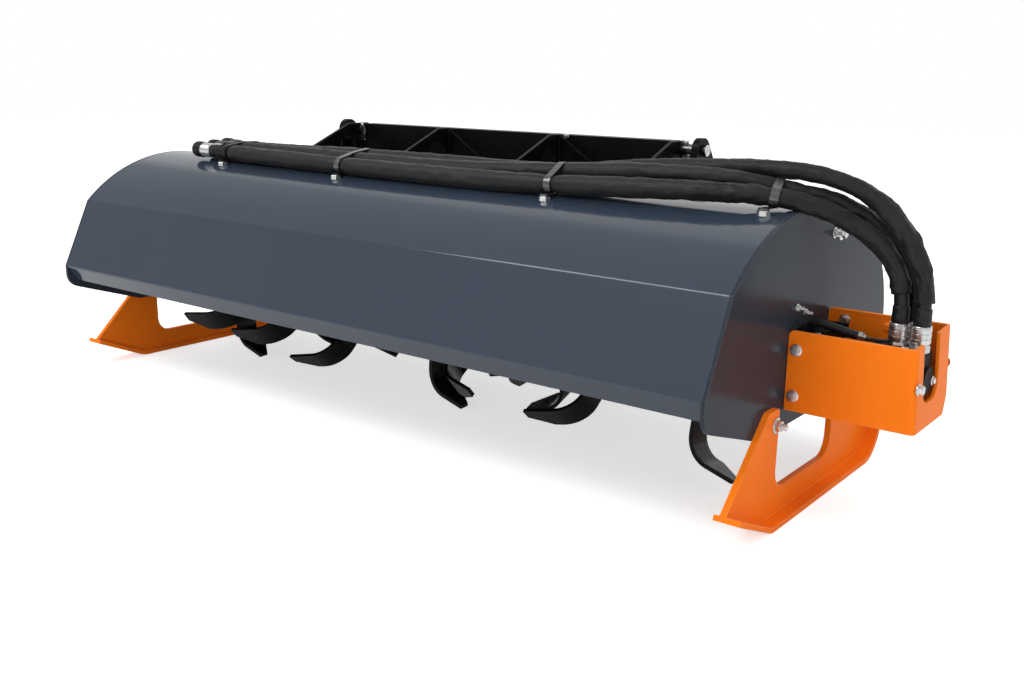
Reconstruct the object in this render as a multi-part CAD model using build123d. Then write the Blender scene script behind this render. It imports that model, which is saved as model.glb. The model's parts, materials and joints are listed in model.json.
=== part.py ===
from build123d import *
import os
from math import acos, cos, degrees, radians, sin, sqrt, tan

# A hydraulic rotavator that a compact loader carries on its hitch.
# Millimetres. X runs along the rotor towards the motor, Y towards the loader, Z up.
# While it is drawn, y = 0 is the front panel's upper bend and z = 0 is the ground;
# place() moves every piece so that the origin is under the middle of the machine.

# --- Hood and end plates -------------------------------------------------------
HOOD_LENGTH = 1800.0        # over the outer faces of the two end plates
HOOD_SHEET = 5.0
END_PLATE = 8.0
LIP_Y = -45.0               # lower edge of the inward lip
HOOD_BOTTOM_Z = 235.0
FRONT_Y = -67.0             # lower bend, the foremost line of the hood
LOWER_BEND_Z = 272.0
UPPER_BEND_Y = 8.0          # upper bend, where the crown begins
FOLD_RADIUS = 9.0           # outer radius of both bends
CREST_Y = 280.0
CREST_Z = 540.0
CROWN_RADIUS = 391.0
FALL_ANGLE = 12.0           # slope of the flat behind the crest
SHOULDER_Y = 520.0          # end of that flat, start of the rear bend
REAR_Y = 715.0              # rearmost face of the hood
PLATE_BOTTOM_Z = 158.0
PLATE_NOSE_Z = 224.0        # front lower corner of an end plate
PLATE_HEEL_Y = 131.0        # where the plate's slanting lower edge meets its flat one
NOSE_FILLET = 36.0
HEEL_FILLET = 60.0
TAIL_FILLET = 85.0

# --- Rotor ---------------------------------------------------------------------
AXIS_Y = 316.0
AXIS_Z = 266.0
TUBE_RADIUS = 44.5
TUBE_WALL = 6.0
TUBE_GAP = 30.0             # between a tube end and its end plate
STUB_RADIUS = 25.0
RUNNING_FIT = 0.05
STUB_END_GAP = 5.0          # between a stub's end and the motor or the bearing cap
FLANGE_PITCH = 175.0
FLANGE_RADIUS = 98.0
FLANGE_THICK = 10.0
TINES_PER_FLANGE = 4
TINE_TIP_RADIUS = 248.0
TINE_ROOT_RADIUS = 52.0
TINE_THICK = 8.0
TINE_REACH = 105.0          # sideways, from the flange's face
TINE_LEG_WIDTH = 62.0
TINE_TIP_WIDTH = 30.0
TINE_BEND_RADIUS = 62.0
TINE_SPLAY = 15.0           # how far the blade still leans outwards after its bend
TINE_SWEEP_START = 106.0
TINE_SWEEP_BACK = 30.0
TINE_TAPER = 0.7            # share of the sweep that the trailing edge follows
# one flange to a line: degrees from straight down to its first tine, and that tine's hand
# (1 points to +X, -1 to -X)
FLANGE_TURNS = (
    (4, 1),
    (36, 1),
    (40, 1),
    (52, 1),
    (4, 1),
    (42, -1),
    (22, -1),
    (48, 1),
    (-8, 1),
)

# --- Bearings and motor --------------------------------------------------------
BEARING_RADIUS = 62.0
BEARING_THICK = 26.0
BEARING_FLANGE = 12.0
BEARING_FLANGE_HALF = 68.0
SHAFT_HOLE_GAP = 6.0
CAP_THICK = 6.0
MOTOR_FLANGE = 18.0
MOTOR_FLANGE_HALF = 62.0
MOTOR_BODY_RADIUS = 47.0
PORT_BLOCK_LENGTH = 84.0
PORT_BLOCK_HALF = 46.0
PORT_BLOCK_TOP_Z = 312.0
MOTOR_COVER_RADIUS = 24.0
MOTOR_COVER_THICK = 18.0
MOTOR_END_INSET = 3.0       # from the guard's end face
MOTOR_RIB_REACH = 13.0
MOTOR_RIB_HALF = 22.0
PORT_INSETS = (39.0, 2.0)   # of the two ports, from the port block's end
DRAIN_PORT_INSET = 28.0
DRAIN_PORT_SHIFT_Y = 34.0
FERRULE_RADIUS = 17.0
FERRULE_LENGTH = 42.0
NUT_HALF = 15.0
NUT_HEIGHT = 15.0

# --- Motor guard ---------------------------------------------------------------
GUARD_GAP = 1.0             # between the end plate and the guard
GUARD_LENGTH = 219.0        # along its front top edge
GUARD_LEAN = 3.0            # degrees that its end wall leans out towards the ground
GUARD_SHEET = 6.0
GUARD_FRONT_Y = 230.0
GUARD_REAR_Y = 410.0
GUARD_BOTTOM_Z = 192.0
GUARD_FRONT_TOP_Z = 335.0
GUARD_REAR_TOP_Z = 348.0
GUARD_CHAMFER_Y = 26.0
GUARD_CHAMFER_Z = 46.0
GUARD_FOLD_RADIUS = 10.0
GUARD_CORNER_RADIUS = 8.0
SLOT_Y = 307.0
SLOT_WIDTH = 82.0
SLOT_BOTTOM_Z = 234.0
SLOT_RADIUS = 30.0
BRACKET_THICK = 6.0
BRACKET_REACH = 40.0
BRACKET_HEIGHT = 118.0

# --- Skids ---------------------------------------------------------------------
SKID_PLATE = 12.0
SOLE_THICK = 10.0
SOLE_INSIDE = 10.0          # overhang towards the rotor, from the end plate's face
SOLE_OUTSIDE = 39.0         # overhang outwards, from the same face
SOLE_TIP_Y = 2.0
SOLE_TIP_Z = 66.0
SOLE_TOE_Y = 132.0
SOLE_REAR_Y = 648.0
SOLE_REAR_TOP_Z = 112.0
SOLE_REAR_RADIUS = 78.0
SOLE_TOE_RADIUS = 60.0
SKID_TOP_Z = 206.0
SKID_BOLT_Z = 178.0
SKID_FRONT_BOLT_Y = 178.0
SKID_REAR_BOLT_Y = 520.0
SKID_EYE_RADIUS = 27.0
SKID_BOLT_HOLE = 8.5
WINDOW_FRONT_Y = 190.0
WINDOW_REAR_Y = 437.0
WINDOW_BOTTOM_Z = 55.0
WINDOW_RADIUS = 36.0

# --- Hitch frame ---------------------------------------------------------------
BEAM_FRONT_Y = 565.0
BEAM_THICK = 12.0
BEAM_LIFT = 6.3             # above the hood's shoulder
BEAM_HEIGHT = 118.0
BEAM_LIP = 22.0
EAR_INNER_X = 523.0
EAR_THICK = 16.0
PIN_Y = 568.0
PIN_DROP = 17.0             # below the beam's top edge
PIN_RADIUS = 12.0
PIN_OVERHANG = 8.0
PIN_CLEARANCE = 0.05
EAR_TOP_RADIUS = 26.0
LOCK_Y = 745.0
LOCK_Z = 335.0
LOCK_HOLE_RADIUS = 15.0
EAR_LOCK_RADIUS = 34.0
EAR_FOOT_Z = 215.0
EAR_FRONT_Y = 552.0
GUSSET_THICK = 8.0
GUSSET_X = (-484.0, -169.0, 169.0, 484.0)
GUSSET_TOE_Y = 346.0
GUSSET_TOP_FRONT_Y = 526.0
GUSSET_RISE = 1.0           # above the beam's top edge
GUSSET_HOLE_Y = 517.0
GUSSET_HOLE_MARGIN = 32.0   # below the gusset's top edge and above the beam's lower one
GUSSET_HOLE_WIDTH = 56.0
WING_LENGTH = 185.0
WING_THICK = 6.0
CROSS_TUBE = 50.0
CROSS_TUBE_WALL = 5.0
SEAT_GAP = 0.3              # between a piece and the curved sheet that carries it

# --- Hoses, clamps and couplers ------------------------------------------------
HOSE_DIAMETER = 30.0
CLAMP_WIDTH = 15.0
CLAMP_BAND = 2.5
CLAMP_GAP = 1.0
STAND_OFF_RADIUS = 9.5
COUPLER_RADIUS = 16.0
COUPLER_LENGTH = 34.0
COUPLER_RING_RADIUS = 18.0
COUPLER_RING_LENGTH = 40.0
COUPLER_CAP_RADIUS = 20.0
COUPLER_CAP_LENGTH = 26.0
# x, y and z of the route's points, from the motor's ferrule to the coupler
HOSE_ROUTES = {
    "hose_front": (
        (1060.0, 316.0, 369.0),
        (1060.0, 316.0, 405.0),
        (1049.0, 312.0, 446.0),
        (1021.0, 301.0, 490.0),
        (978.0, 285.0, 525.0),
        (926.0, 263.0, 550.0),
        (860.0, 236.0, 561.5),
        (760.0, 209.0, 565.0),
        (640.0, 200.0, 562.0),
        (450.0, 193.0, 554.0),
        (240.0, 189.0, 550.0),
        (30.0, 190.0, 551.0),
        (-300.0, 196.0, 554.0),
        (-480.0, 205.0, 556.0),
        (-606.0, 207.0, 558.0),
    ),
    "hose_middle": (
        (1071.0, 350.0, 369.0),
        (1071.0, 350.0, 404.0),
        (1061.0, 347.0, 440.0),
        (1033.0, 337.0, 484.0),
        (989.0, 323.0, 525.0),
        (930.0, 302.0, 551.0),
        (860.0, 275.0, 570.0),
        (780.0, 250.0, 586.0),
        (640.0, 240.0, 587.0),
        (450.0, 234.0, 577.0),
        (240.0, 229.0, 564.0),
        (30.0, 230.0, 560.0),
        (-300.0, 235.0, 565.0),
        (-480.0, 241.0, 564.0),
        (-606.0, 247.5, 563.0),
    ),
    "hose_rear": (
        (1097.0, 316.0, 369.0),
        (1097.0, 316.0, 405.0),
        (1089.0, 316.0, 446.0),
        (1069.0, 315.0, 489.0),
        (1039.0, 312.0, 532.0),
        (990.0, 306.0, 570.0),
        (925.0, 297.0, 592.0),
        (850.0, 289.0, 602.0),
        (700.0, 281.0, 599.0),
        (560.0, 275.0, 589.0),
        (400.0, 272.0, 569.0),
        (230.0, 272.0, 568.0),
        (30.0, 272.0, 570.0),
        (-300.0, 275.0, 567.0),
        (-480.0, 279.0, 563.0),
        (-606.0, 288.0, 564.0),
    ),
}
# each clamp's x, how far its stand-off stands in front of the first hose, and the hoses it holds
CLAMPS = (
    (-575.0, 22.0, ("hose_front", "hose_middle", "hose_rear")),
    (-162.0, 20.0, ("hose_front", "hose_middle", "hose_rear")),
    (414.0, 20.0, ("hose_front", "hose_middle", "hose_rear")),
    (850.0, 31.0, ("hose_front", "hose_middle")),
)

# --- Worked out ----------------------------------------------------------------
HALF_LENGTH = HOOD_LENGTH / 2
INNER_X = HALF_LENGTH - END_PLATE
CROWN_CENTRE = (CREST_Y, CREST_Z - CROWN_RADIUS)
UPPER_BEND_ANGLE = 90 + degrees(acos(sqrt(1 - ((CREST_Y - UPPER_BEND_Y) / CROWN_RADIUS) ** 2)))
FALL = radians(FALL_ANGLE)
CROWN_END = (
    CROWN_CENTRE[0] + CROWN_RADIUS * sin(FALL),
    CROWN_CENTRE[1] + CROWN_RADIUS * cos(FALL),
)
SHOULDER = (SHOULDER_Y, CROWN_END[1] - (SHOULDER_Y - CROWN_END[0]) * tan(FALL))
REAR_RADIUS = (REAR_Y - SHOULDER_Y) / (1 - sin(FALL))
REAR_CENTRE = (REAR_Y - REAR_RADIUS, SHOULDER[1] - REAR_RADIUS * cos(FALL))
UPPER_BEND = (
    UPPER_BEND_Y,
    CROWN_CENTRE[1] + CROWN_RADIUS * sin(radians(UPPER_BEND_ANGLE)),
)
LOWER_BEND = (FRONT_Y, LOWER_BEND_Z)
BEAM_BOTTOM_Z = SHOULDER[1] + BEAM_LIFT
BEAM_TOP_Z = BEAM_BOTTOM_Z + BEAM_HEIGHT
PIN_Z = BEAM_TOP_Z - PIN_DROP
GUSSET_TOP_Z = BEAM_TOP_Z + GUSSET_RISE
BEAM_REAR_Y = BEAM_FRONT_Y + BEAM_THICK
GUARD_LEFT_X = HALF_LENGTH + GUARD_GAP
GUARD_END_X = GUARD_LEFT_X + GUARD_LENGTH
PORT_BLOCK_END_X = GUARD_END_X - MOTOR_END_INSET - MOTOR_COVER_THICK
MIDDLE_X = (GUARD_END_X - HALF_LENGTH - SOLE_OUTSIDE) / 2
MIDDLE_Y = (FRONT_Y + LOCK_Y + EAR_LOCK_RADIUS) / 2

nodes = {}


def place(shape):
    """Move a piece from the drawing's datum to the machine's origin."""
    return Pos(-MIDDLE_X, -MIDDLE_Y, 0) * shape


def plate_x(outline, x, thickness):
    """Extrude an outline drawn in (y, z) from x towards +X."""
    return extrude(Plane.YZ.offset(x) * outline, amount=thickness)


def rod_x(radius, x, length, y=AXIS_Y, z=AXIS_Z):
    """Round bar along X that starts at x."""
    return Pos(x + length / 2, y, z) * Rot(0, 90, 0) * Cylinder(radius, length)


def block(x0, x1, y0, y1, z0, z1):
    """Box between two corners."""
    size = (x1 - x0, y1 - y0, z1 - z0)
    return Pos((x0 + x1) / 2, (y0 + y1) / 2, (z0 + z1) / 2) * Box(*size)


def mirror_x(shape):
    return mirror(shape, about=Plane.YZ)


def crown_edges():
    """Hood outline from its lower bend over the crest to its rearmost point."""
    fall_start = 90 - FALL_ANGLE
    return [
        Line(LOWER_BEND, UPPER_BEND),
        CenterArc(CROWN_CENTRE, CROWN_RADIUS, fall_start, UPPER_BEND_ANGLE - fall_start),
        Line(CROWN_END, SHOULDER),
        CenterArc(REAR_CENTRE, REAR_RADIUS, 0, fall_start),
    ]


def folded(outline):
    """Round the outline at the hood's two bends."""
    bends = [Vector(*LOWER_BEND), Vector(*UPPER_BEND)]
    corners = [v for v in outline.vertices() if min((v.center() - b).length for b in bends) < 1]
    return fillet(corners, FOLD_RADIUS)


def hood_outline(bottom_z):
    """Closed outline of the hood, with its lip carried on down to bottom_z."""
    lip_slope = (LIP_Y - FRONT_Y) / (LOWER_BEND_Z - HOOD_BOTTOM_Z)
    lip_end = (FRONT_Y + lip_slope * (LOWER_BEND_Z - bottom_z), bottom_z)
    rear_top = (REAR_Y, REAR_CENTRE[1])
    rear_end = (REAR_Y, bottom_z)
    closing = Polyline(rear_top, rear_end, lip_end, LOWER_BEND)
    return folded(make_face([*crown_edges(), *closing.edges()]))


def seat_outline():
    """Hood outline grown by the seating gap, to trim what stands on the hood."""
    return offset(hood_outline(HOOD_BOTTOM_Z - HOOD_SHEET), SEAT_GAP, kind=Kind.INTERSECTION)


def make_hood():
    outer = hood_outline(HOOD_BOTTOM_Z - 2 * HOOD_SHEET)
    inner = offset(outer, -HOOD_SHEET, kind=Kind.INTERSECTION)
    depth = REAR_Y - FRONT_Y
    below = Pos((REAR_Y + FRONT_Y) / 2, HOOD_BOTTOM_Z - depth / 2) * Rectangle(2 * depth, depth)
    nodes["hood_shell"] = plate_x(outer - inner - below, -INNER_X, 2 * INNER_X)


def end_plate_outline():
    nose = (FRONT_Y, PLATE_NOSE_Z)
    heel = (PLATE_HEEL_Y, PLATE_BOTTOM_Z)
    tail = (REAR_Y, PLATE_BOTTOM_Z)
    rear_top = (REAR_Y, REAR_CENTRE[1])
    lower = FilletPolyline(
        rear_top, tail, heel, nose, LOWER_BEND, radius=[TAIL_FILLET, HEEL_FILLET, NOSE_FILLET]
    )
    return folded(make_face([*crown_edges(), *lower.edges()]))


def make_end_plates():
    hole = Pos(AXIS_Y, AXIS_Z) * Circle(STUB_RADIUS + SHAFT_HOLE_GAP)
    bolts = [
        Pos(y, SKID_BOLT_Z) * Circle(SKID_BOLT_HOLE)
        for y in (SKID_FRONT_BOLT_Y, SKID_REAR_BOLT_Y)
    ]
    plate = plate_x(end_plate_outline() - hole - bolts, INNER_X, END_PLATE)
    nodes["end_plate_right"] = plate
    nodes["end_plate_left"] = mirror_x(plate)


def skid_sole_path(shift):
    """Edge of the sole, moved up and inwards by shift."""
    slope = (SOLE_TIP_Z - SOLE_THICK) / (SOLE_TOE_Y - SOLE_TIP_Y)
    toe = Vector(SOLE_TOE_Y + shift * (sqrt(1 + slope**2) - 1) / slope, shift)
    tip = Vector(SOLE_TIP_Y, SOLE_TIP_Z - SOLE_THICK) + Vector(slope, 1).normalized() * shift
    heel = (SOLE_REAR_Y - shift, shift)
    end = (SOLE_REAR_Y - shift, SOLE_REAR_TOP_Z)
    radii = [SOLE_TOE_RADIUS - shift, SOLE_REAR_RADIUS - shift]
    return FilletPolyline(tip, toe, heel, end, radius=radii)


def skid_sole_outline():
    lower = skid_sole_path(0)
    upper = skid_sole_path(SOLE_THICK)
    ends = [Line(lower @ 0, upper @ 0), Line(lower @ 1, upper @ 1)]
    return make_face([*lower.edges(), *upper.edges(), *ends])


def skid_plate_outline():
    """Front leg, runner and rear leg round an open-topped window, above the sole."""
    upper = skid_sole_path(SOLE_THICK)
    tip = upper @ 0
    rear = upper @ 1
    front_eye = (SKID_FRONT_BOLT_Y - SKID_EYE_RADIUS, SKID_TOP_Z)
    leg_points = [
        (tip.X, tip.Y),
        front_eye,
        (WINDOW_FRONT_Y, SKID_TOP_Z),
        (WINDOW_FRONT_Y, WINDOW_BOTTOM_Z),
        (WINDOW_REAR_Y, WINDOW_BOTTOM_Z),
        (WINDOW_REAR_Y, SKID_TOP_Z),
        (SKID_REAR_BOLT_Y + SKID_EYE_RADIUS, SKID_TOP_Z),
        (rear.X, rear.Y),
    ]
    eye = SKID_EYE_RADIUS / 2
    top = FilletPolyline(*leg_points, radius=[eye, eye / 2, WINDOW_RADIUS, WINDOW_RADIUS, eye, eye])
    outline = make_face([*top.edges(), *upper.edges()])
    holes = [
        Pos(y, SKID_BOLT_Z) * Circle(SKID_BOLT_HOLE)
        for y in (SKID_FRONT_BOLT_Y, SKID_REAR_BOLT_Y)
    ]
    return outline - holes


def make_skids():
    plate = plate_x(skid_plate_outline(), HALF_LENGTH, SKID_PLATE)
    sole = plate_x(skid_sole_outline(), HALF_LENGTH - SOLE_INSIDE, SOLE_INSIDE + SOLE_OUTSIDE)
    skid = plate + sole
    nodes["skid_right"] = skid
    nodes["skid_left"] = mirror_x(skid)


def tine(hand):
    """One curved tine pointing down from a flange at x = 0, its tip towards hand * X."""
    face_x = hand * FLANGE_THICK / 2
    tip_x = face_x + hand * TINE_REACH
    knee_z = TINE_REACH * tan(radians(TINE_SPLAY)) - TINE_TIP_RADIUS
    spine = FilletPolyline(
        (face_x, -TINE_ROOT_RADIUS), (face_x, knee_z), (tip_x, -TINE_TIP_RADIUS), radius=TINE_BEND_RADIUS
    )
    strip = offset(spine, TINE_THICK, side=Side.LEFT if hand > 0 else Side.RIGHT)
    bent = extrude(Plane.XZ * make_face(strip.edges()), amount=TINE_TIP_RADIUS / 2, both=True)

    front = TINE_LEG_WIDTH / 2
    sweep_z = -TINE_SWEEP_START
    end_z = -TINE_TIP_RADIUS - TINE_THICK
    middle_z = (sweep_z + end_z) / 2
    front_end = front - TINE_SWEEP_BACK
    back_end = -front - TINE_SWEEP_BACK * TINE_TAPER
    side = make_face([
        *Polyline((front, sweep_z), (front, -TINE_ROOT_RADIUS)).edges(),
        *Polyline((front, -TINE_ROOT_RADIUS), (-front, -TINE_ROOT_RADIUS), (-front, sweep_z)).edges(),
        ThreePointArc((front, sweep_z), (front - TINE_SWEEP_BACK / 4, middle_z), (front_end, end_z)),
        Line((front_end, end_z), (back_end, end_z)),
        ThreePointArc((back_end, end_z), ((back_end - 3 * front) / 4, middle_z), (-front, sweep_z)),
    ])
    side_form = extrude(Plane.YZ * side, amount=TINE_TIP_RADIUS, both=True)

    margin = TINE_THICK
    taper_x = face_x + hand * TINE_BEND_RADIUS / 3
    beyond_x = tip_x + hand * margin
    plan = make_face(Polyline(
        (-hand * margin, front + margin),
        (taper_x, front + margin),
        (beyond_x, TINE_TIP_WIDTH - front - TINE_SWEEP_BACK),
        (beyond_x, -front - TINE_SWEEP_BACK - margin),
        (-hand * margin, -front - TINE_SWEEP_BACK - margin),
        (-hand * margin, front + margin),
    ).edges())
    plan_form = Pos(0, 0, -TINE_TIP_RADIUS - margin) * extrude(plan, amount=TINE_TIP_RADIUS)
    return bent & side_form & plan_form


def make_rotor():
    tube_length = 2 * (INNER_X - TUBE_GAP)
    tube = rod_x(TUBE_RADIUS, -tube_length / 2, tube_length)
    bore = rod_x(TUBE_RADIUS - TUBE_WALL, -tube_length / 2 + FLANGE_THICK, tube_length - 2 * FLANGE_THICK)
    shaft = tube - bore
    stub_end = HALF_LENGTH + BEARING_THICK - STUB_END_GAP
    for start in (-stub_end, tube_length / 2 - FLANGE_THICK / 2):
        shaft += rod_x(STUB_RADIUS, start, stub_end - tube_length / 2 + FLANGE_THICK / 2)
    disc = Circle(FLANGE_RADIUS) - Circle(TUBE_RADIUS - TUBE_WALL / 2)
    flange = plate_x(disc, -FLANGE_THICK / 2, FLANGE_THICK)
    hands = {1: tine(1), -1: tine(-1)}
    first_x = -FLANGE_PITCH * (len(FLANGE_TURNS) - 1) / 2
    for index, (turn, hand) in enumerate(FLANGE_TURNS):
        at_flange = Pos(first_x + index * FLANGE_PITCH, AXIS_Y, AXIS_Z) * Rot(turn, 0, 0)
        shaft += at_flange * flange
        tines = [
            at_flange * Rot(step * 360 / TINES_PER_FLANGE, 0, 0) * hands[hand * (-1) ** step]
            for step in range(TINES_PER_FLANGE)
        ]
        nodes[f"tines_{index + 1}"] = Compound(tines)
    nodes["rotor_shaft"] = shaft


def bearing(x):
    """Flanged housing on an end plate's outer face, around the rotor's stub."""
    flange = Rectangle(2 * BEARING_FLANGE_HALF, 2 * BEARING_FLANGE_HALF)
    flange = Pos(AXIS_Y, AXIS_Z) * fillet(flange.vertices(), BEARING_FLANGE_HALF / 2)
    bore = Pos(AXIS_Y, AXIS_Z) * Circle(STUB_RADIUS + RUNNING_FIT)
    drum = Pos(AXIS_Y, AXIS_Z) * Circle(BEARING_RADIUS)
    return plate_x(flange - bore, x, BEARING_FLANGE) + plate_x(drum - bore, x, BEARING_THICK)


def make_bearings():
    nodes["bearing_right"] = bearing(HALF_LENGTH)
    nodes["bearing_left"] = mirror_x(bearing(HALF_LENGTH))
    cap = rod_x(BEARING_RADIUS, HALF_LENGTH + BEARING_THICK, CAP_THICK)
    nodes["bearing_cap_left"] = mirror_x(cap)


def hex_prism(across_half, height):
    return extrude(RegularPolygon(across_half, 6, major_radius=False), amount=height)


def make_motor():
    start = HALF_LENGTH + BEARING_THICK
    block_end = PORT_BLOCK_END_X
    block_start = block_end - PORT_BLOCK_LENGTH
    flange = Rectangle(2 * MOTOR_FLANGE_HALF, 2 * MOTOR_FLANGE_HALF)
    flange = Pos(AXIS_Y, AXIS_Z) * fillet(flange.vertices(), MOTOR_FLANGE_HALF / 2)
    body = plate_x(flange, start, MOTOR_FLANGE)
    body += rod_x(MOTOR_BODY_RADIUS, start + MOTOR_FLANGE, block_start - start - MOTOR_FLANGE)
    body += block(
        block_start, block_end,
        AXIS_Y - PORT_BLOCK_HALF, AXIS_Y + PORT_BLOCK_HALF,
        AXIS_Z - PORT_BLOCK_HALF, PORT_BLOCK_TOP_Z,
    )
    body += block(
        block_end, block_end + MOTOR_RIB_REACH,
        AXIS_Y - MOTOR_RIB_HALF, AXIS_Y + MOTOR_RIB_HALF,
        AXIS_Z, PORT_BLOCK_TOP_Z,
    )
    body += rod_x(MOTOR_COVER_RADIUS, block_end, MOTOR_COVER_THICK)
    nodes["motor"] = body
    ports = (
        ("port_fitting_1", PORT_INSETS[0], AXIS_Y),
        ("port_fitting_2", PORT_INSETS[1], AXIS_Y),
        ("port_fitting_drain", DRAIN_PORT_INSET, AXIS_Y + DRAIN_PORT_SHIFT_Y),
    )
    for name, inset, y in ports:
        nut = hex_prism(NUT_HALF, NUT_HEIGHT)
        ferrule = Pos(0, 0, NUT_HEIGHT + FERRULE_LENGTH / 2) * Cylinder(FERRULE_RADIUS, FERRULE_LENGTH)
        nodes[name] = Pos(block_end - inset, y, PORT_BLOCK_TOP_Z) * (nut + ferrule)


def leaning_end(outline, start, end, radius):
    """Guard box from start to a leaning, rounded end wall that passes end at the front top edge."""
    lean = radians(GUARD_LEAN)
    wall = Plane(origin=(end, 0, GUARD_FRONT_TOP_Z), z_dir=(cos(lean), 0, sin(lean)))
    long_box = plate_x(outline, start, end - start + GUARD_FRONT_TOP_Z * tan(lean))
    box = split(long_box, bisect_by=wall, keep=Keep.BOTTOM)
    upright = [
        edge for edge in box.edges()
        if edge.center().X > (start + end) / 2 and abs((edge % 0.5).Z) > cos(2 * lean)
    ]
    return fillet(upright, radius)


def make_guard():
    """Folded box, open at its top and towards the end plate, with a slot in its far end."""
    sheet = GUARD_SHEET
    outline = Polyline(
        (GUARD_FRONT_Y, GUARD_FRONT_TOP_Z),
        (GUARD_FRONT_Y, GUARD_BOTTOM_Z),
        (GUARD_REAR_Y - GUARD_CHAMFER_Y, GUARD_BOTTOM_Z),
        (GUARD_REAR_Y, GUARD_BOTTOM_Z + GUARD_CHAMFER_Z),
        (GUARD_REAR_Y, GUARD_REAR_TOP_Z),
        (GUARD_FRONT_Y, GUARD_FRONT_TOP_Z),
    )
    outer = make_face(outline.edges())
    hollow = offset(outer, -sheet, kind=Kind.INTERSECTION)
    hollow += Pos(0, 2 * sheet) * hollow
    box = leaning_end(outer, GUARD_LEFT_X, GUARD_END_X, GUARD_FOLD_RADIUS)
    room = leaning_end(hollow, GUARD_LEFT_X - sheet, GUARD_END_X - sheet, GUARD_FOLD_RADIUS - sheet)
    slot_height = 2 * (GUARD_REAR_TOP_Z - SLOT_BOTTOM_Z)
    slot = Rectangle(SLOT_WIDTH, slot_height)
    slot = Pos(SLOT_Y, SLOT_BOTTOM_Z + slot_height / 2) * fillet(slot.vertices(), SLOT_RADIUS)
    guard = box - room - plate_x(slot, GUARD_END_X - 2 * sheet, 4 * sheet)
    tops = (GUARD_FRONT_TOP_Z, GUARD_REAR_TOP_Z)
    corners = [
        edge for edge in guard.edges()
        if abs(edge.center().X - GUARD_LEFT_X) < 1 and edge.length < 2 * sheet
        and min(abs(edge.center().Z - z) for z in tops) < sheet
    ]
    nodes["motor_guard"] = fillet(corners, GUARD_CORNER_RADIUS)
    bracket_z = (GUARD_BOTTOM_Z + GUARD_FRONT_TOP_Z) / 2
    low, high = bracket_z - BRACKET_HEIGHT / 2, bracket_z + BRACKET_HEIGHT / 2
    front = GUARD_FRONT_Y + sheet
    rear = GUARD_REAR_Y - sheet
    thick = BRACKET_THICK
    reach = GUARD_LEFT_X + BRACKET_REACH
    low_rear = max(low, GUARD_BOTTOM_Z + GUARD_CHAMFER_Z + sheet)
    nodes["guard_bracket_front"] = block(HALF_LENGTH, reach, front, front + thick, low, high)
    nodes["guard_bracket_rear"] = block(HALF_LENGTH, reach, rear - thick, rear, low_rear, high)


def make_ears():
    """End plates of the hitch: a pin eye above, a locking hole below, trimmed to the hood."""
    circles = [
        Pos(PIN_Y, PIN_Z) * Circle(EAR_TOP_RADIUS),
        Pos(LOCK_Y, LOCK_Z) * Circle(EAR_LOCK_RADIUS),
        Pos(LOCK_Y, EAR_FOOT_Z + EAR_LOCK_RADIUS) * Circle(EAR_LOCK_RADIUS),
        Pos(EAR_FRONT_Y + PIN_RADIUS, BEAM_BOTTOM_Z) * Circle(PIN_RADIUS),
        Pos(SHOULDER_Y + PIN_RADIUS, SHOULDER[1] - 3 * PIN_RADIUS) * Circle(PIN_RADIUS),
        Pos(REAR_CENTRE[0] + REAR_RADIUS / 2, EAR_FOOT_Z + PIN_RADIUS) * Circle(PIN_RADIUS),
    ]
    hull = make_face(make_hull(Sketch(circles).edges()).edges())
    eye = Pos(PIN_Y, PIN_Z) * Circle(PIN_RADIUS + PIN_CLEARANCE)
    lock = Pos(LOCK_Y, LOCK_Z) * Circle(LOCK_HOLE_RADIUS)
    under_hood = hood_outline(HOOD_BOTTOM_Z - CREST_Z)
    under_hood = offset(under_hood, SEAT_GAP, kind=Kind.INTERSECTION)
    ear = plate_x(hull - under_hood - eye - lock, EAR_INNER_X, EAR_THICK)
    nodes["hitch_ear_right"] = ear
    nodes["hitch_ear_left"] = mirror_x(ear)
    inner_face = GUSSET_X[-1] - GUSSET_THICK / 2 - PIN_OVERHANG
    pin = rod_x(PIN_RADIUS, inner_face, EAR_INNER_X + EAR_THICK + PIN_OVERHANG - inner_face, PIN_Y, PIN_Z)
    nodes["hitch_pin_right"] = pin
    nodes["hitch_pin_left"] = mirror_x(pin)


def gusset_outline():
    """Sloping plate from the hood's crest up to the beam, with an arched hole."""
    outline = make_face(Polyline(
        (GUSSET_TOE_Y, CREST_Z - 2 * GUSSET_THICK),
        (GUSSET_TOE_Y, CREST_Z + GUSSET_THICK),
        (GUSSET_TOP_FRONT_Y, GUSSET_TOP_Z),
        (BEAM_FRONT_Y, GUSSET_TOP_Z),
        (BEAM_FRONT_Y, REAR_CENTRE[1]),
        (GUSSET_TOE_Y, REAR_CENTRE[1]),
        (GUSSET_TOE_Y, CREST_Z - 2 * GUSSET_THICK),
    ).edges())
    arch_radius = GUSSET_HOLE_WIDTH / 2
    arch_z = GUSSET_TOP_Z - GUSSET_HOLE_MARGIN - arch_radius
    foot_z = BEAM_BOTTOM_Z + GUSSET_HOLE_MARGIN
    hole = Pos(GUSSET_HOLE_Y, arch_z) * Circle(arch_radius)
    hole += Pos(GUSSET_HOLE_Y, (arch_z + foot_z) / 2) * Rectangle(GUSSET_HOLE_WIDTH, arch_z - foot_z)
    return outline - seat_outline() - hole


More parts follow.
